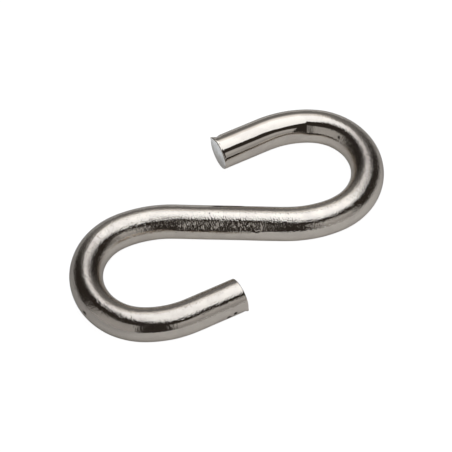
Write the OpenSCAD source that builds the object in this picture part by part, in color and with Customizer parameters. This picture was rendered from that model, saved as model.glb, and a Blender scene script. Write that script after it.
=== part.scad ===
// S hook, cold bent from one length of round steel wire and cropped at both ends.
// Millimetres. It lies flat on z = 0 with the middle of its shank over the origin.
// X runs along the line of pull, through the centres of the two eyes.
// Hook A is the one towards +X. Hook B is hook A turned half a turn about Z.

/* [Wire] */
// Diameter of the round wire
wire_d = 5; // [3:0.5:7]
// How much thinner the wire is drawn by the tight bend round an eye
eye_thinning = 0.1; // [0.06:0.02:0.3]

/* [Shank] */
// Straight length between the two hooks
shank_len = 16; // [6:1:40]

/* [Easy bend from the shank into the eye] */
// Radius of this bend, to the middle of the wire
lead_r = 16; // [10:0.5:30]
// Turn of this bend, in degrees
lead_turn = 29; // [15:1:35]

/* [Tight bend round the eye] */
// Inside radius of the eye
eye_inner_r = 6; // [5:0.5:15]
// Turn of this bend, in degrees
eye_turn = 153; // [130:1:160]

/* [Easy bend from the eye into the arm] */
// Radius of this bend, to the middle of the wire
arm_r = 15; // [8:0.5:25]
// Turn of this bend, in degrees
arm_turn = 27; // [10:1:32]

/* [Arms and their cut ends] */
// Straight length of each arm, along its middle
arm_len = 7.5; // [3:0.5:12]
// Lean of hook A's cut face off square, in degrees, in the plane of the S
cut_lean_a = 0.5; // [0:0.5:8]
// Lean of hook B's cut face off square, in degrees, in the plane of the S
cut_lean_b = 2.5; // [0:0.5:8]

/* [Hidden] */
// Segments of a full circle, in the wire's section and round each bend
$fn = 96;
wire_r = wire_d / 2;
eye_wire_d = wire_d - eye_thinning;
eye_r = eye_inner_r + eye_wire_d / 2;
// How far the thinner wire of the eye reaches into the full wire at each end, in degrees
eye_reach = 1;
// Spare wire beyond the cut, which the crop takes off
crop_spare = wire_d;

// Centre of hook A's eye, with the shank along X and the shank's middle at the origin
eye_x = shank_len / 2 + (lead_r - eye_r) * sin(lead_turn);
eye_y = lead_r - (lead_r - eye_r) * cos(lead_turn);
// Angle from the shank to the line of pull
pull_angle = atan2(eye_y, eye_x);

// A straight run of wire from the origin along +X
module straight(length) {
    rotate([0, 90, 0])
        cylinder(d = wire_d, h = length);
}

// A bend that starts at the origin along +X and turns left in the XY plane
module bend(radius, turn, d = wire_d) {
    translate([0, radius, 0])
        rotate([0, 0, -90])
            rotate_extrude(angle = turn)
                translate([radius, 0])
                    circle(d = d);
}

// Carries its children to the far end of a straight run
module past_straight(length) {
    translate([length, 0, 0])
        children();
}

// Carries its children round a bend, by its whole turn or by a part of it
module past_bend(radius, turn) {
    translate([0, radius, 0])
        rotate([0, 0, turn])
            translate([0, -radius, 0])
                children();
}

// The easy bend into the arm, drawn back from the arm's root at the origin
module bend_into_arm() {
    mirror([1, 0, 0])
        bend(arm_r, arm_turn);
}

// The arm from its root along +X, left long and then cropped by a plane that leans
module arm(lean) {
    difference() {
        straight(arm_len + crop_spare);
        translate([arm_len, 0, 0])
            rotate([0, 0, lean])
                translate([0, -wire_d, -wire_d])
                    cube([2 * (crop_spare + wire_d), 2 * wire_d, 2 * wire_d]);
    }
}

// One hook, from the end of the shank at the origin to its cut end
module hook(lean) {
    bend(lead_r, lead_turn);
    past_bend(lead_r, lead_turn) {
        past_bend(eye_r, -eye_reach)
            bend(eye_r, eye_turn + 2 * eye_reach, eye_wire_d);
        past_bend(eye_r, eye_turn)
            past_bend(arm_r, arm_turn) {
                bend_into_arm();
                arm(lean);
            }
    }
}

// The whole wire, turned so that the line of pull is X and lifted to lie on z = 0
module s_hook() {
    color([0.72, 0.69, 0.65])
        translate([0, 0, wire_r])
            rotate([0, 0, -pull_angle]) {
                past_straight(-shank_len / 2)
                    straight(shank_len);
                past_straight(shank_len / 2)
                    hook(cut_lean_a);
                rotate([0, 0, 180])
                    past_straight(shank_len / 2)
                        hook(cut_lean_b);
            }
}

s_hook();
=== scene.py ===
import math

import bpy
import numpy as np
from mathutils import Matrix, Vector


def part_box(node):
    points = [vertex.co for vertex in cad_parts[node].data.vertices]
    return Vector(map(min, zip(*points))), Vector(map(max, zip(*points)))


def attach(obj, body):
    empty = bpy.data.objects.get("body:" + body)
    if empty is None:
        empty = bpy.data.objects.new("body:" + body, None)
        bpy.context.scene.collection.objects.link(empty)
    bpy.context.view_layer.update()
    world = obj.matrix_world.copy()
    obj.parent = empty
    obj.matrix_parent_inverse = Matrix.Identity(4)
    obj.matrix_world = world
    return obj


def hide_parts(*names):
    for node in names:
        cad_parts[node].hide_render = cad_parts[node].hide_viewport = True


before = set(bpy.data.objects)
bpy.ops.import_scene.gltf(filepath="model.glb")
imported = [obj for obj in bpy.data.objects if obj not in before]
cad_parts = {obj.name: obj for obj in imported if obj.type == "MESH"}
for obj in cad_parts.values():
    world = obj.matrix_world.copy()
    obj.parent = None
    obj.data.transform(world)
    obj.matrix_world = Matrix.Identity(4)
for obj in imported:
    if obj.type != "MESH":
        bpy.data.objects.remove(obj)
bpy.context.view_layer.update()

# Lengths are in millimetres and angles in degrees until a mesh is made in metres
MM = 0.001
PIECE = "bent_wire"
SLOT = "nickel_plated_steel"

# The wire and its run, as the solid has them
low_corner, high_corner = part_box("s_hook")
WIRE_R = (high_corner.z - low_corner.z) / MM / 2
SHANK_LEN = 16.0
LEAD_R = 16.0
LEAD_TURN = 29.0
EYE_R = 8.45
EYE_TURN = 153.0
ARM_R = 15.0
ARM_TURN = 27.0
ARM_LEN = 7.5
CUT_LEAN_A = 0.5
CUT_LEAN_B = 2.5
# How much narrower the wire is drawn in the plane of the S by the bend round an eye
EYE_THINNING = 0.030
# How far that reaches to each side of the bend's middle, in halves of the bend
EYE_SPREAD = 1.5
# Length over which a bend fades into the next run
BEND_FADE = 2.4

# The mesh
SIDES = 112
RING_STEP = 0.17
# Stretches of the wire that need closer rings: from, to and the step there
FINE_STRETCHES = (
    (-53.3, -51.5, 0.06),
    (-8.6, 5.8, 0.09),
    (37.8, 40.4, 0.08),
    (51.5, 53.3, 0.06),
)
RIM_R = 0.10
RIM_RINGS = 4
FACE_RINGS = 16
# Above 1, the rings of a cut face crowd towards its rim
FACE_CROWDING = 1.6

# The view
VIEW_AZIMUTH = -37.3
VIEW_ELEVATION = 55.0
VIEW_DISTANCE = 390.0
IMAGE_WIDTH = 452
SENSOR_WIDTH = 36.0
# The wire's diameter in the image, in pixels, at the middle of the S
WIRE_PIXELS = 34.55
# Where the camera aims, from the middle of the S: to the right and up in the image
AIM_RIGHT = -0.40
AIM_UP = -0.46


# The run of the wire

def half_runs():
    """Length and curvature of each run, from the shank's middle to a cut end."""
    bends = ((LEAD_R, LEAD_TURN), (EYE_R, EYE_TURN), (ARM_R, ARM_TURN))
    runs = [(SHANK_LEN / 2, 0.0)]
    runs += [(radius * math.radians(turn), 1 / radius) for radius, turn in bends]
    return runs + [(ARM_LEN, 0.0)]


def pull_angle():
    """Angle from the shank to the line through the centres of the two eyes, in radians."""
    turn = math.radians(LEAD_TURN)
    eye_x = SHANK_LEN / 2 + (LEAD_R - EYE_R) * math.sin(turn)
    eye_y = LEAD_R - (LEAD_R - EYE_R) * math.cos(turn)
    return math.atan2(eye_y, eye_x)


HALF_LEN = sum(length for length, _ in half_runs())


class Route:
    """The wire's centreline, by the distance s along it from the shank's middle."""

    STEP = 0.01

    def __init__(self):
        reach = HALF_LEN + BEND_FADE
        count = int(reach / self.STEP)
        self.s = np.arange(-count, count + 1) * self.STEP
        fade = np.ones(int(BEND_FADE / self.STEP) | 1)
        curvature = np.convolve(self._curvature(), fade / fade.size, mode="same")
        heading = np.cumsum(curvature) * self.STEP
        self.heading = heading - heading[count] - pull_angle()
        self.x = self._from_middle(np.cos(self.heading), count)
        self.y = self._from_middle(np.sin(self.heading), count)

    def _curvature(self):
        """Left bends are positive, and the second half is the first turned half a turn."""
        curvature = np.zeros_like(self.s)
        start = 0.0
        for length, bend in half_runs():
            inside = (np.abs(self.s) >= start) & (np.abs(self.s) < start + length)
            curvature[inside] = bend
            start += length
        return curvature * np.sign(self.s)

    def _from_middle(self, slope, middle):
        total = np.cumsum(slope) * self.STEP
        return total - total[middle]

    def at(self, s):
        """Point and heading at each distance s."""
        return tuple(np.interp(s, self.s, values) for values in (self.x, self.y, self.heading))


def smooth(low, high, value):
    """0 below low and 1 above high, with a soft step between."""
    t = np.clip((value - low) / (high - low), 0, 1)
    return t * t * (3 - 2 * t)


def eye_share(s):
    """1 in the middle of the bend round an eye, 0 well outside it."""
    start = SHANK_LEN / 2 + LEAD_R * math.radians(LEAD_TURN)
    half = EYE_R * math.radians(EYE_TURN) / 2
    return 1 - smooth(0, EYE_SPREAD * half, np.abs(np.abs(s) - start - half))


# The relief of the skin

# Slow waves left by drawing and bending: height, rate along the wire, count round it, start
WAVES = (
    (0.006, 0.7, 1, 0.4),
    (0.003, 1.5, -2, 1.9),
    (0.0012, 2.9, 3, 0.2),
)
# Jaw marks on the shank: where they lie, how softly they end along and round the wire,
# the size of the pits and their depth
JAW_START = -8.0
JAW_END = 3.5
JAW_LOW = 127
JAW_HIGH = 146
JAW_FADE_LEN = 0.8
JAW_FADE_TURN = 5
JAW_CELL = 0.30
JAW_CELLS_ROUND = 44
JAW_PIT_DEPTH = 0.18
JAW_SEED = 11
# How deep the jaws pressed the shank in, and how far the dent spreads past their marks
JAW_DEPTH = 0.05
JAW_SPREAD = 5
DENT_FADE_LEN = 2
DENT_FADE_TURN = 14
# The curved nick at the end of the jaw marks, a part of a ring
NICK_AT = 4.1
NICK_TURN = 140
NICK_R = 0.62
NICK_HALF = 0.16
NICK_DEPTH = 0.06
# Where the ring opens on its upper left side, across a slanting line through its middle
NICK_OPENS = (-0.3, 0.2)
# Pits and nicks: place along the wire, angle round it, half length, half angle, depth
PITS = (
    (32.7, 43, 0.26, 8, 0.12),
    (-31.0, 8, 0.38, 10, 0.20),
    (-50.2, -15, 0.42, 13, 0.25),
    (-51.2, -6, 0.36, 12, 0.24),
    (-51.4, 98, 0.16, 5, 0.04),
    (-2.8, 93, 0.16, 5, 0.05),
    (17.3, 111, 0.16, 5, 0.04),
    (26.3, 80, 0.22, 6, 0.04),
    (26.8, 88, 0.25, 6, 0.04),
    (27.9, 110, 0.20, 6, 0.05),
    (-34.5, 31, 0.50, 4, 0.025),
    (-34.9, 17, 0.30, 5, 0.025),
    (-0.1, 48, 3.0, 8, 0.15),
    (-1.7, 52, 1.1, 6, 0.12),
    (1.5, 44, 1.1, 6, 0.12),
    (21.9, 99, 0.15, 5, 0.03),
    (24.7, 111, 0.15, 5, 0.03),
    (14.9, 122, 0.15, 5, 0.04),
    (-17.6, 135, 0.15, 5, 0.04),
    (-12.7, 142, 0.18, 5, 0.04),
    (-39.8, 50, 0.18, 5, 0.04),
)
# The crease where hook A's arm leaves the bend of its eye
CREASE_AT = 39.05
CREASE_DEPTH = 0.12
CREASE_EYE_LEN = 1.20
CREASE_ARM_LEN = 1.60
CREASE_TURN = 38
CREASE_SPREAD = 54
# How deep the side of hook A's arm that faces the shank was pressed flat, along the wire
PRESSED = ((38.5, 0.0), (40.0, 0.14), (42.0, 0.20), (47.0, 0.10), (52.0, 0.0))
PRESSED_TURN = 0
PRESSED_SPREAD = 45

# The crop's burrs, and rounded edges that fall instead of rising: end, angle round the
# wire, half angle, push past the cut, rise off the wire
BURRS = (
    {"end": 1, "turn": 130, "half": 42, "push": 0.24, "rise": 0.20},
    {"end": 1, "turn": 44, "half": 36, "push": 0.0, "rise": -0.07},
    {"end": 1, "turn": 84, "half": 34, "push": 0.0, "rise": -0.04},
    {"end": -1, "turn": -26, "half": 22, "push": 0.08, "rise": 0.15},
    {"end": 1, "turn": 190, "half": 55, "push": 0.0, "rise": -0.035},
    {"end": -1, "turn": 8, "half": 40, "push": 0.0, "rise": -0.035},
)
BURR_LEN = 0.40
# Share of the radius beyond which a cut face follows its burr
BURR_FACE_SHARE = 0.7
# The groove behind hook A's burr
GROOVE_BACK = 0.90
GROOVE_HALF = 0.55
GROOVE_TURN = 142
GROOVE_SPREAD = 30
GROOVE_DEPTH = 0.20
# How far hook A's cut face falls back across it, and which way
FALL_BACK = 0.17
FALL_TURN = 240
FALL_LEN = 1.0
# How far the middle of a cut face stands proud of its rim
FACE_DOME = 0.06
# How pebbled the finish is along the wire, from hook B's cut end to hook A's
PEBBLING = (
    (-53, 0.6), (-46, 0.75), (-42, 0.6), (-37, 0.5), (-33, 1.0), (-24, 1.2), (-16, 0.75),
    (10, 0.6), (16, 0.7), (22, 1.3), (30, 0.9), (35, 0.3), (39, 0.05), (44, 0.03), (53, 0.06),
)
# How much more pebbled it is on the shank, just above the jaw marks
SIDE_PEBBLING = 0.5
SIDE_START = -16.0
SIDE_END = 13.0
SIDE_FADE_LEN = 5
SIDE_TURN = 117
SIDE_SPREAD = 28
# The flank at the root of hook B's arm, and the share of its pebbles that is smoothed away
FLANK_START = -45.5
FLANK_END = -34.5
FLANK_LOW = 5
FLANK_HIGH = 55
FLANK_FADE_LEN = 2
FLANK_FADE_TURN = 12
FLANK_SMOOTHED = 0.85
# How ribbed and satin the finish is along the wire, where the bends stretched it
SATIN = (
    (-53, 0.16), (-46, 0.22), (-42, 0.34), (-36, 0.4), (-31, 0.46), (-27, 0.6),
    (-23, 0.66), (-19, 0.25), (-13, 0.07), (12, 0.07), (18, 0.15), (21, 0.4), (24, 0.75),
    (28, 0.88), (31, 0.7), (34, 0.3), (37, 0.1), (40, 0.0), (53, 0.0),
)
# Painted shade on the shank's far side, darkened so that its reflection in hook A's arm shows as a
# dark line
PAINTED_SHADE_START = -8.0
PAINTED_SHADE_END = 18.0
PAINTED_SHADE_LOW = -10
PAINTED_SHADE_HIGH = 33
# How softly the painted shade ends, in millimetres along the wire and in degrees round it
PAINTED_SHADE_FADE = 8
# Depth of a pit at which its darkening begins, and at which it is full
PIT_DARKENING_DEPTHS = (0.01, 0.06)
# How tarnished the wire is along it, how far round it from its crown the tarnish thins,
# and the share that is left below
TARNISH_SPREAD = 75
TARNISH_LEAST = 0.35
TARNISH = (
    (-53, 0.15), (-46, 0.3), (-38, 0.45), (-32, 0.7), (-25, 0.7), (-19, 0.2), (0, 0.0),
    (15, 0.0), (19, 0.1), (23, 0.6), (26, 1.0), (30, 1.0), (34, 0.35), (38, 0.0), (53, 0.0),
)


def uneven(s, turn):
    """Slight unevenness of the drawn wire, all of it inwards."""
    deepest = sum(wave[0] for wave in WAVES)
    return sum(height * np.sin(rate * s + count * turn + start)
               for height, rate, count, start in WAVES) - deepest


def within(low, high, soft, value):
    """1 between low and high, with soft edges."""
    rises = smooth(low - soft / 2, low + soft / 2, value)
    falls = smooth(high - soft / 2, high + soft / 2, value)
    return rises * (1 - falls)


def grain(s, turn, cell, cells_round, seed):
    """Smooth noise from -1 to 1, in cells of a length along the wire and a count round it."""
    rows = int(2 * HALF_LEN / cell) + 4
    values = np.random.default_rng(seed).uniform(-1, 1, (rows, cells_round))
    along = (s + HALF_LEN) / cell + 1
    around = turn / (2 * math.pi) * cells_round
    i = np.floor(along).astype(int)
    j = np.floor(around).astype(int)
    u = smooth(0, 1, along - i)
    v = smooth(0, 1, around - j)
    j = j % cells_round
    k = (j + 1) % cells_round
    near = values[i, j] * (1 - v) + values[i, k] * v
    far = values[i + 1, j] * (1 - v) + values[i + 1, k] * v
    return near * (1 - u) + far * u


def jaw_zone(s, turn):
    """1 where the jaws held the shank, 0 elsewhere."""
    along = within(JAW_START, JAW_END, JAW_FADE_LEN, s)
    return along * within(JAW_LOW, JAW_HIGH, JAW_FADE_TURN, np.degrees(turn))


def jaw_marks(s, turn):
    """The shallow dent that the jaws pressed in, with small sharp pits at its bottom."""
    teeth = np.maximum(grain(s, turn, JAW_CELL, JAW_CELLS_ROUND, JAW_SEED), 0) ** 2
    low = JAW_LOW - JAW_SPREAD
    high = JAW_HIGH + JAW_SPREAD
    along = within(JAW_START, NICK_AT + NICK_R, DENT_FADE_LEN, s)
    dent = along * within(low, high, DENT_FADE_TURN, np.degrees(turn))
    return -JAW_PIT_DEPTH * teeth * jaw_zone(s, turn) - JAW_DEPTH * dent


def nick(s, turn):
    """Depth of the curved nick at the end of the jaw marks."""
    along = s - NICK_AT
    round_it = np.radians(np.degrees(turn) - NICK_TURN) * WIRE_R
    off = np.abs(np.hypot(along, round_it) - NICK_R)
    open_side = smooth(*NICK_OPENS, along + round_it)
    return NICK_DEPTH * (1 - smooth(0, NICK_HALF, off)) * open_side


def crease(s, turn):
    """Depth of the crease, sharp at its bottom."""
    past = s - CREASE_AT
    side_len = np.where(past > 0, CREASE_ARM_LEN, CREASE_EYE_LEN)
    across = np.exp(-np.abs(past) / side_len)
    return CREASE_DEPTH * across * spot(turn_from(turn, CREASE_TURN), 0, CREASE_SPREAD)


def pressed(s, turn):
    """Depth of the pressed side of hook A's arm."""
    return along_wire(PRESSED, s) * spot(turn_from(turn, PRESSED_TURN), 0, PRESSED_SPREAD)


def spot(value, middle, half):
    """A soft round bump from 0 to 1 about a middle value."""
    return 1 - smooth(0, half, np.abs(value - middle))


def turn_from(turn, degrees):
    """Distance round the wire from an angle, in degrees, the short way."""
    return np.abs((np.degrees(turn) - degrees + 180) % 360 - 180)


def pits(s, turn):
    """Depth of the pits and nicks."""
    return sum(depth * spot(s, along, half_len) * spot(turn_from(turn, angle), 0, half_turn)
               for along, angle, half_len, half_turn, depth in PITS)


def groove(s, turn):
    """Depth of the groove that the crop left behind hook A's burr."""
    near = spot(s, HALF_LEN - GROOVE_BACK, GROOVE_HALF)
    return GROOVE_DEPTH * near * spot(turn_from(turn, GROOVE_TURN), 0, GROOVE_SPREAD)


def burrs(s, turn, key):
    """How far the burrs push past the cut, or rise off the wire."""
    total = 0
    for burr in BURRS:
        near = smooth(HALF_LEN - BURR_LEN, HALF_LEN - RIM_R, s * burr["end"])
        total = total + burr[key] * near * spot(turn_from(turn, burr["turn"]), 0, burr["half"])
    return total


def along_wire(table, s):
    """Reads a table of places along the wire and shares at a distance along it."""
    along, share = zip(*table)
    return np.interp(s, along, share)


# The mesh of the wire

def stations():
    """Distances of the rings along the wire, closer together where the shape is finer."""
    last = HALF_LEN - RIM_R
    s = np.linspace(-last, last, int(2 * last / Route.STEP))
    rings_per_mm = np.full_like(s, 1 / RING_STEP)
    for start, end, spacing in FINE_STRETCHES:
        rings_per_mm[(s >= start) & (s <= end)] = 1 / spacing
    passed = np.cumsum(rings_per_mm) * (s[1] - s[0])
    return np.interp(np.linspace(passed[0], passed[-1], int(passed[-1])), passed, s)


def end_profile():
    """Share of the full radius, and distance past the last plain ring, over rim and face."""
    turn = np.linspace(0, math.pi / 2, RIM_RINGS + 1)[1:]
    rim_share = 1 - RIM_R / WIRE_R * (1 - np.cos(turn))
    rim_past = RIM_R * np.sin(turn)
    inwards = np.linspace(0, 1, FACE_RINGS + 1)[1:-1]
    face_share = rim_share[-1] * (1 - inwards ** FACE_CROWDING)
    share = np.concatenate([rim_share, face_share])
    past = np.concatenate([rim_past, np.full(face_share.size, RIM_R)])
    return share, past


class Wire:
    """Every ring of the wire's skin, from the middle of one cut face to the other's."""

    def __init__(self):
        body = stations()
        share, past = end_profile()
        last = body[-1]
        self.s = np.concatenate([-(last + past[::-1]), body, last + past])
        self.share = np.concatenate([share[::-1], np.ones_like(body), share])
        self.turn = np.arange(SIDES) * 2 * math.pi / SIDES
        face = np.arange(share.size) >= RIM_RINGS
        self.on_face = np.concatenate([face[::-1], np.zeros(body.size), face])
        self.route = Route()

    def points(self):
        """Points in millimetres, ring by ring, and their places on the wire laid straight."""
        s = self.s[:, None]
        share = self.share[:, None]
        flank = WIRE_R * (1 - EYE_THINNING * eye_share(s)) * share * np.cos(self.turn)
        rise = WIRE_R * share * np.sin(self.turn)
        turn = np.broadcast_to(self.turn, flank.shape)
        lift = self._relief(s, turn)
        flank = flank + lift * np.cos(turn)
        rise = rise + lift * np.sin(turn)
        along = self._lean(s, flank) + self._end_shape(s, turn)
        x, y, heading = self.route.at(s)
        places = np.stack([
            x + along * np.cos(heading) - flank * np.sin(heading),
            y + along * np.sin(heading) + flank * np.cos(heading),
            WIRE_R + rise], axis=-1)
        straight = np.stack(np.broadcast_arrays(s + along, flank, rise), axis=-1)
        return places, straight

    def _lean(self, s, flank):
        """How far each point slides along the wire, so that the cut faces lean."""
        near_a = smooth(HALF_LEN - 2 * WIRE_R, HALF_LEN - RIM_R, s)
        near_b = smooth(HALF_LEN - 2 * WIRE_R, HALF_LEN - RIM_R, -s)
        slope_a = math.tan(math.radians(CUT_LEAN_A))
        slope_b = math.tan(math.radians(CUT_LEAN_B))
        return -near_a * slope_a * flank - near_b * slope_b * flank

    def _end_shape(self, s, turn):
        """How far each point slides along the wire at the burrs and over the cut faces."""
        outwards = np.sign(s)
        share = self.share[:, None]
        push = burrs(s, turn, "push") * smooth(BURR_FACE_SHARE, 1, share)
        dome = FACE_DOME * (1 - share ** 2)
        near_a = smooth(HALF_LEN - FALL_LEN, HALF_LEN - RIM_R, s)
        fall = FALL_BACK * near_a * share * (1 + np.cos(turn - math.radians(FALL_TURN))) / 2
        return outwards * (push + dome - fall)

    def _relief(self, s, turn):
        """Height of the relief of the skin, outwards, in millimetres."""
        share = self.share[:, None]
        dents = pits(s, turn) + groove(s, turn) + nick(s, turn) + crease(s, turn)
        dents = dents + pressed(s, turn)
        return (uneven(s, turn) + jaw_marks(s, turn) + burrs(s, turn, "rise") - dents) * share

    def _pit_dark_and_shade(self):
        """Darkening in the pits by their depth, and painted shade on the shank's far side, from 0
        to 1, for every vertex.
        """
        s, turn = np.meshgrid(self.s, self.turn, indexing="ij")
        from_far = (np.degrees(turn) + 180) % 360 - 180
        far = within(PAINTED_SHADE_START, PAINTED_SHADE_END, PAINTED_SHADE_FADE, s)
        far = far * within(PAINTED_SHADE_LOW, PAINTED_SHADE_HIGH, PAINTED_SHADE_FADE, from_far)
        pit_dark_and_shade = np.maximum(smooth(*PIT_DARKENING_DEPTHS, pits(s, turn)), far)
        return np.append(pit_dark_and_shade.ravel(), [0, 0])

    def _tarnish(self):
        """How tarnished the wire is, most of all on its crown, for every vertex."""
        s, turn = np.meshgrid(self.s, self.turn, indexing="ij")
        crown = spot(turn_from(turn, 90), 0, TARNISH_SPREAD)
        tarnish = along_wire(TARNISH, s) * (TARNISH_LEAST + (1 - TARNISH_LEAST) * crown)
        return np.append(tarnish.ravel(), [0, 0])

    def _pebbling(self):
        """How pebbled the finish is, for every vertex."""
        s, turn = np.meshgrid(self.s, self.turn, indexing="ij")
        side = within(SIDE_START, SIDE_END, SIDE_FADE_LEN, s)
        side = side * spot(turn_from(turn, SIDE_TURN), 0, SIDE_SPREAD)
        flank = within(FLANK_START, FLANK_END, FLANK_FADE_LEN, s)
        flank = flank * within(FLANK_LOW, FLANK_HIGH, FLANK_FADE_TURN, np.degrees(turn))
        pebbling = along_wire(PEBBLING, s) + SIDE_PEBBLING * side
        pebbling = pebbling * (1 - FLANK_SMOOTHED * flank)
        return np.append(pebbling.ravel(), [0, 0])

    def faces(self):
        """Quads between the rings, and a fan of triangles at the middle of each cut face."""
        rings = self.s.size
        quads = []
        for ring in range(rings - 1):
            start = ring * SIDES
            for k in range(SIDES):
                after = (k + 1) % SIDES
                quads.append((start + k, start + SIDES + k, start + SIDES + after, start + after))
        first_hub = rings * SIDES
        last = (rings - 1) * SIDES
        for k in range(SIDES):
            after = (k + 1) % SIDES
            quads.append((first_hub, k, after))
            quads.append((first_hub + 1, last + after, last + k))
        return quads

    def build(self):
        places, straight = self.points()
        hubs = places[[0, -1]].mean(axis=1)
        verts = np.concatenate([places.reshape(-1, 3), hubs]) * MM
        mesh = bpy.data.meshes.new(PIECE)
        mesh.from_pydata(verts.tolist(), [], self.faces())
        flat = np.concatenate([straight.reshape(-1, 3), straight[[0, -1]].mean(axis=1)])
        add_values(mesh, "straightened", "FLOAT_VECTOR", "vector", flat)
        on_face = np.append(np.repeat(self.on_face, SIDES), [1, 1])
        add_values(mesh, "cut_face", "FLOAT", "value", on_face)
        add_values(mesh, "pebbling", "FLOAT", "value", self._pebbling())
        add_values(mesh, "satin", "FLOAT", "value", along_wire(SATIN, flat[:, 0]))
        add_values(mesh, "tarnish", "FLOAT", "value", self._tarnish())
        # Darkening in the pits by their depth, and painted shade on the shank's far side
        add_values(mesh, "pit_dark_and_shade", "FLOAT", "value", self._pit_dark_and_shade())
        mesh.polygons.foreach_set("use_smooth", [True] * len(mesh.polygons))
        mesh.update()
        piece = bpy.data.objects.new(PIECE, mesh)
        bpy.context.scene.collection.objects.link(piece)
        return piece


def add_values(mesh, name, kind, field, values):
    """Stores one value for each vertex of the mesh under a name that its material reads."""
    attribute = mesh.attributes.new(name, kind, "POINT")
    attribute.data.foreach_set(field, np.asarray(values, np.float32).ravel())


# Small helpers for node trees

def put(tree, socket, value):
    """Links a socket to another one, or sets its number."""
    if isinstance(value, bpy.types.NodeSocket):
        tree.links.new(value, socket)
    else:
        socket.default_value = value


def calc(tree, operation, *inputs):
    """One maths node, with a socket or a number for each input."""
    node = tree.nodes.new("ShaderNodeMath")
    node.operation = operation
    for socket, value in zip(node.inputs, inputs):
        put(tree, socket, value)
    return node.outputs[0]


def step(tree, value, low, high, bottom=0.0, top=1.0):
    """A soft step of a value from bottom to top between low and high."""
    node = tree.nodes.new("ShaderNodeMapRange")
    node.interpolation_type = "SMOOTHSTEP"
    for name, given in zip(("Value", "From Min", "From Max", "To Min", "To Max"),
                           (value, low, high, bottom, top)):
        put(tree, node.inputs[name], given)
    return node.outputs[0]


def between(tree, value, low, high, soft):
    """1 between low and high, with soft edges that reach half their width outwards."""
    rises = step(tree, value, low - soft / 2, low + soft / 2)
    falls = step(tree, value, high - soft / 2, high + soft / 2, 1.0, 0.0)
    return calc(tree, "MULTIPLY", rises, falls)


def dot(tree, vector, direction):
    """The part of a vector along a fixed direction."""
    node = tree.nodes.new("ShaderNodeVectorMath")
    node.operation = "DOT_PRODUCT"
    put(tree, node.inputs[0], vector)
    node.inputs[1].default_value = direction
    return node.outputs["Value"]


def mix_colour(tree, share, under, over):
    """One colour laid over another by a share from 0 to 1."""
    node = tree.nodes.new("ShaderNodeMix")
    node.data_type = "RGBA"
    put(tree, node.inputs["Factor"], share)
    for name, colour in (("A", under), ("B", over)):
        socket = [s for s in node.inputs if s.name == name and s.type == "RGBA"][0]
        put(tree, socket, colour if isinstance(colour, bpy.types.NodeSocket) else (*colour, 1))
    return [s for s in node.outputs if s.type == "RGBA"][0]


# The studio

VIEW_RIGHT = Vector((math.cos(math.radians(VIEW_AZIMUTH)), math.sin(math.radians(VIEW_AZIMUTH)), 0))
VIEW_AHEAD = Vector((-VIEW_RIGHT.y, VIEW_RIGHT.x, 0))
UPWARDS = Vector((0, 0, 1))

DARK_ROOM = (0.034, 0.029, 0.025)
# Soft panels round the object. An azimuth is 0 away from the camera and 90 to its right
WALLS = (
    {"azimuth": 0, "half": 33, "side": 22, "low": -90, "high": 60, "soft": 20, "light": 0.22},
    {"azimuth": -10, "half": 20, "side": 16, "low": 34, "high": 90, "soft": 20, "light": 0.38},
    {"azimuth": 22, "half": 16, "side": 12, "low": 44, "high": 90, "soft": 16, "light": 0.38},
    {"azimuth": -4.5, "half": 10, "side": 10, "low": 35, "high": 90, "soft": 24, "light": 1.30},
    {"azimuth": -137, "half": 33, "side": 11, "low": -90, "high": 50, "soft": 6, "light": 0.45},
    {"azimuth": 137, "half": 21.5, "side": 2, "low": -90, "high": 39, "soft": 6, "light": 0.39},
    {"azimuth": 137, "half": 21.5, "side": 2, "low": 22, "high": 39, "soft": 6, "light": 0.52},
    {"azimuth": 97, "half": 22, "side": 10, "low": -90, "high": 9, "soft": 8, "light": 0.38},
)
# Where the reflected floor fades, in millimetres to the right of the middle, and how far
FADE_ACROSS = (-32, -6)
FADE_TO = 0.2
# The panel overhead. Each edge faces an azimuth, and its reach is the tangent of its lean
ROOF_EDGES = (
    {"azimuth": 0, "reach": 0.96, "soft": 0.26},
    {"azimuth": 42, "reach": 0.63, "soft": 0.06},
    {"azimuth": 101, "reach": 0.52, "soft": 0.04},
    {"azimuth": 180, "reach": 0.435, "soft": 0.03},
    {"azimuth": -132, "reach": 0.17, "soft": 0.05},
    {"azimuth": -100, "reach": 0.15, "soft": 0.06},
)
ROOF_NEAR_LIGHT = (1.26, 1.32, 1.38)
ROOF_FAR_LIGHT = (1.55, 1.63, 1.72)
# The near light turns into the far one between these leans away from the camera
ROOF_TURNS = (-0.5, 0.5)
# The panel fades out just above the horizon, by the upward part of a direction
ROOF_ENDS = (0.02, 0.1)
# The floors, in millimetres, and how much light each returns and gives of its own
FLOOR_HALF = 4000
SEEN_FLOOR = {"height": 0.0, "diffuse": 0.3, "glow": 0.95}
REFLECTED_FLOOR = {"height": -0.05, "diffuse": 0.88, "glow": 0.21}


def wall_share(tree, right, ahead, rise, wall):
    """Share of a soft upright panel in a direction of the room."""
    middle = math.radians(wall["azimuth"])
    level = calc(tree, "SQRT", calc(tree, "ADD", calc(tree, "MULTIPLY", right, right),
                                    calc(tree, "MULTIPLY", ahead, ahead)))
    towards = calc(tree, "ADD", calc(tree, "MULTIPLY", right, math.sin(middle)),
                   calc(tree, "MULTIPLY", ahead, math.cos(middle)))
    cosine = calc(tree, "DIVIDE", towards, calc(tree, "MAXIMUM", level, 0.001))
    off = calc(tree, "ARCCOSINE", calc(tree, "MINIMUM", cosine, 1.0))
    half = math.radians(wall["half"])
    side = math.radians(wall["side"])
    beside = step(tree, off, half - side / 2, half + side / 2, 1.0, 0.0)
    height = between(tree, rise, *(math.radians(wall[k]) for k in ("low", "high", "soft")))
    return calc(tree, "MULTIPLY", beside, height)


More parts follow.
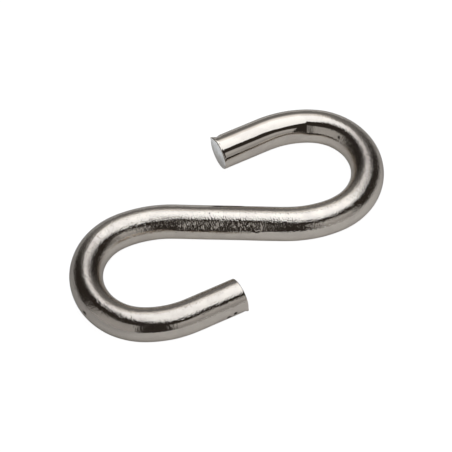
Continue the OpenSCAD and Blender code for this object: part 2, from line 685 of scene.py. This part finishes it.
def roof(tree, right, ahead, up):
    """Share and light of the panel overhead in a direction of the room."""
    safe_up = calc(tree, "MAXIMUM", up, 0.01)
    across = calc(tree, "DIVIDE", right, safe_up)
    away = calc(tree, "DIVIDE", ahead, safe_up)
    share = step(tree, up, *ROOF_ENDS)
    for edge in ROOF_EDGES:
        facing = math.radians(edge["azimuth"])
        lean = calc(tree, "ADD", calc(tree, "MULTIPLY", across, math.sin(facing)),
                    calc(tree, "MULTIPLY", away, math.cos(facing)))
        soft = edge["soft"] / 2
        inside = step(tree, lean, edge["reach"] - soft, edge["reach"] + soft, 1.0, 0.0)
        share = calc(tree, "MULTIPLY", share, inside)
    far = step(tree, away, *ROOF_TURNS)
    light = mix_colour(tree, far, ROOF_NEAR_LIGHT, ROOF_FAR_LIGHT)
    return share, light


def light_room():
    """A dark studio with soft panels, seen by the wire alone. The camera sees plain white."""
    world = bpy.data.worlds.new("studio")
    bpy.context.scene.world = world
    world.use_nodes = True
    tree = world.node_tree
    tree.nodes.clear()
    direction = tree.nodes.new("ShaderNodeTexCoord").outputs["Generated"]
    right = dot(tree, direction, VIEW_RIGHT)
    ahead = dot(tree, direction, VIEW_AHEAD)
    up = dot(tree, direction, UPWARDS)
    rise = calc(tree, "ARCSINE", up)
    colour = DARK_ROOM
    for wall in WALLS:
        share = wall_share(tree, right, ahead, rise, wall)
        colour = mix_colour(tree, share, colour, (wall["light"],) * 3)
    share, light = roof(tree, right, ahead, up)
    colour = mix_colour(tree, share, colour, light)
    room = tree.nodes.new("ShaderNodeBackground")
    put(tree, room.inputs["Color"], colour)
    plain = tree.nodes.new("ShaderNodeBackground")
    chooser = tree.nodes.new("ShaderNodeMixShader")
    put(tree, chooser.inputs["Fac"], tree.nodes.new("ShaderNodeLightPath").outputs["Is Camera Ray"])
    plain.inputs["Color"].default_value = (1, 1, 1, 1)
    tree.links.new(room.outputs[0], chooser.inputs[1])
    tree.links.new(plain.outputs[0], chooser.inputs[2])
    tree.links.new(chooser.outputs[0], tree.nodes.new("ShaderNodeOutputWorld").inputs["Surface"])


def floor_material(name, kind, fades):
    """A pale matt floor with some light of its own, which may fade to the left."""
    diffuse = kind["diffuse"]
    glow = kind["glow"]
    material = bpy.data.materials.new(name)
    material.use_nodes = True
    tree = material.node_tree
    tree.nodes.clear()
    matt = tree.nodes.new("ShaderNodeBsdfDiffuse")
    matt.inputs["Color"].default_value = (diffuse, diffuse, diffuse, 1)
    light = tree.nodes.new("ShaderNodeEmission")
    light.inputs["Strength"].default_value = glow
    if fades:
        place = tree.nodes.new("ShaderNodeTexCoord").outputs["Object"]
        across = dot(tree, place, VIEW_RIGHT / MM)
        put(tree, light.inputs["Strength"], step(tree, across, *FADE_ACROSS, glow * FADE_TO, glow))
    total = tree.nodes.new("ShaderNodeAddShader")
    tree.links.new(matt.outputs[0], total.inputs[0])
    tree.links.new(light.outputs[0], total.inputs[1])
    tree.links.new(total.outputs[0], tree.nodes.new("ShaderNodeOutputMaterial").inputs["Surface"])
    return material


def floor(name, kind, material, seen):
    """A square floor at its height. Either the camera sees it or reflections do."""
    square = ((-1, -1), (1, -1), (1, 1), (-1, 1))
    corners = [(x * FLOOR_HALF, y * FLOOR_HALF, kind["height"]) for x, y in square]
    mesh = bpy.data.meshes.new(name)
    mesh.from_pydata([[c * MM for c in corner] for corner in corners], [], [(0, 1, 2, 3)])
    mesh.materials.append(material)
    ground = bpy.data.objects.new(name, mesh)
    bpy.context.scene.collection.objects.link(ground)
    ground.visible_camera = seen
    ground.visible_glossy = not seen
    ground.visible_diffuse = not seen
    ground.visible_transmission = not seen
    ground.visible_shadow = False


def add_camera():
    """Puts the camera at the photograph's angle, so that the wire has its size and place."""
    rise = math.radians(VIEW_ELEVATION)
    back = -VIEW_AHEAD * math.cos(rise) + UPWARDS * math.sin(rise)
    above = VIEW_AHEAD * math.sin(rise) + UPWARDS * math.cos(rise)
    aim = VIEW_RIGHT * AIM_RIGHT + above * AIM_UP + UPWARDS * WIRE_R
    data = bpy.data.cameras.new("camera")
    data.sensor_width = SENSOR_WIDTH
    focal_pixels = WIRE_PIXELS * VIEW_DISTANCE / (2 * WIRE_R)
    data.lens = focal_pixels * SENSOR_WIDTH / IMAGE_WIDTH
    data.clip_start = VIEW_DISTANCE * MM / 10
    data.clip_end = VIEW_DISTANCE * MM * 100
    camera = bpy.data.objects.new("camera", data)
    place = Matrix((VIEW_RIGHT, above, back)).transposed().to_4x4()
    place.translation = (aim + back * VIEW_DISTANCE) * MM
    camera.matrix_world = place
    bpy.context.scene.collection.objects.link(camera)
    bpy.context.scene.camera = camera


# The metal

NICKEL = (0.668, 0.61, 0.543)
DULL_NICKEL = (0.618, 0.56, 0.503)
# Dark colour of the pits, and of the painted shade on the shank's far side
PIT_DARK_AND_SHADE = (0.08, 0.07, 0.06)
TARNISHED = (0.395, 0.35, 0.315)
# The cut faces: partly a zone where the blade sheared them and one where they broke off, partly
# painted light on the upper part and painted shade on the lower part
SHEARED_AND_LIT_STEEL = (1.0, 1.0, 0.99)
BROKEN_AND_SHADED_STEEL = (0.60, 0.58, 0.55)
# What nickel and cut steel reflect at a glancing angle
NICKEL_EDGE = (0.66, 0.66, 0.65)
STEEL_EDGE = (1.0, 1.0, 1.0)
SMOOTH_ROUGHNESS = 0.04
SATIN_ROUGHNESS = 0.26
CUT_ROUGHNESS = 0.42
# Height of the finest relief, in metres, where the finish is most pebbled
PEEL_HEIGHT = 0.000032
# How much higher the ribs are than the pebbles
RIB_SHARE = 1.2
# Counts per millimetre of the pebbles, ribs and patches: along the wire, across and up
PEBBLE_RATE = (6.5, 5.0, 5.0)
RIB_RATE = (4.0, 1.8, 1.8)
PATCH_RATE = (0.45, 0.7, 0.7)
RIB_DETAIL = 0.5
PATCH_DETAIL = 3.0
# Between these values of the patches the plate turns from dull to clean
PATCH_CLEAN = (0.36, 0.60)
# Heights over which the cut face turns from its painted shade below to its painted light above, and
# how far patches move them
CUT_SHADE_TO_LIGHT_HEIGHTS = (-1.2, 1.8)
CUT_SHADE_WANDER = 3.0


def stored(tree, name, output):
    """Reads one of the values that the mesh carries."""
    node = tree.nodes.new("ShaderNodeAttribute")
    node.attribute_name = name
    return node.outputs[output]


def scaled(tree, vector, scale):
    """Stretches a vector by its own factor along each axis."""
    node = tree.nodes.new("ShaderNodeVectorMath")
    node.operation = "MULTIPLY"
    put(tree, node.inputs[0], vector)
    node.inputs[1].default_value = scale
    return node.outputs["Vector"]


def noise(tree, vector, detail):
    """Plain noise of unit scale, from 0 to 1."""
    node = tree.nodes.new("ShaderNodeTexNoise")
    put(tree, node.inputs["Vector"], vector)
    node.inputs["Scale"].default_value = 1
    node.inputs["Detail"].default_value = detail
    return node.outputs["Fac"]


def metal():
    """Nickel plate: bright on the arms, pebbled on the shank and loops, and matt on the cuts."""
    material = bpy.data.materials.new(SLOT)
    material.use_nodes = True
    tree = material.node_tree
    shader = tree.nodes["Principled BSDF"]
    shader.inputs["Metallic"].default_value = 1
    place = stored(tree, "straightened", "Vector")
    pebbling = stored(tree, "pebbling", "Fac")
    satin = stored(tree, "satin", "Fac")
    cut = stored(tree, "cut_face", "Fac")

    pebbles = noise(tree, scaled(tree, place, PEBBLE_RATE), 0.0)
    ribs = noise(tree, scaled(tree, place, RIB_RATE), RIB_DETAIL)
    patches = noise(tree, scaled(tree, place, PATCH_RATE), PATCH_DETAIL)

    clean = step(tree, patches, *PATCH_CLEAN)
    colour = mix_colour(tree, clean, DULL_NICKEL, NICKEL)
    colour = mix_colour(tree, stored(tree, "tarnish", "Fac"), colour, TARNISHED)
    # Painted light and shade on the cut faces: lighter towards the top, darker towards the bottom
    upper = dot(tree, place, (0, 0, 1))
    marks = calc(tree, "MULTIPLY", calc(tree, "SUBTRACT", patches, 0.5), CUT_SHADE_WANDER)
    cut_lit_share = step(tree, calc(tree, "ADD", upper, marks), *CUT_SHADE_TO_LIGHT_HEIGHTS)
    steel = mix_colour(tree, cut_lit_share, BROKEN_AND_SHADED_STEEL, SHEARED_AND_LIT_STEEL)
    colour = mix_colour(tree, cut, colour, steel)
    # Darker in the pits by their depth, and painted shade on the shank's far side
    colour = mix_colour(tree, stored(tree, "pit_dark_and_shade", "Fac"), colour, PIT_DARK_AND_SHADE)
    put(tree, shader.inputs["Base Color"], colour)
    put(tree, shader.inputs["Specular Tint"], mix_colour(tree, cut, NICKEL_EDGE, STEEL_EDGE))

    rough = calc(tree, "MULTIPLY_ADD", satin, SATIN_ROUGHNESS - SMOOTH_ROUGHNESS, SMOOTH_ROUGHNESS)
    rough = calc(tree, "ADD", rough, calc(tree, "MULTIPLY", cut, CUT_ROUGHNESS))
    put(tree, shader.inputs["Roughness"], rough)

    ribbed = calc(tree, "MULTIPLY", calc(tree, "MULTIPLY", ribs, satin), RIB_SHARE)
    relief = calc(tree, "ADD", calc(tree, "MULTIPLY", pebbles, pebbling), ribbed)
    bump = tree.nodes.new("ShaderNodeBump")
    bump.inputs["Strength"].default_value = 1
    bump.inputs["Distance"].default_value = PEEL_HEIGHT
    put(tree, bump.inputs["Height"], relief)
    tree.links.new(bump.outputs["Normal"], shader.inputs["Normal"])
    return material


light_room()
floor("floor", SEEN_FLOOR, floor_material("pale_floor", SEEN_FLOOR, False), True)
reflected = floor_material("reflected_floor", REFLECTED_FLOOR, True)
floor("reflected_floor", REFLECTED_FLOOR, reflected, False)
add_camera()
bpy.context.scene.view_settings.view_transform = "Standard"

wire = Wire().build()
wire.data.materials.append(metal())
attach(wire, "root")
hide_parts("s_hook")
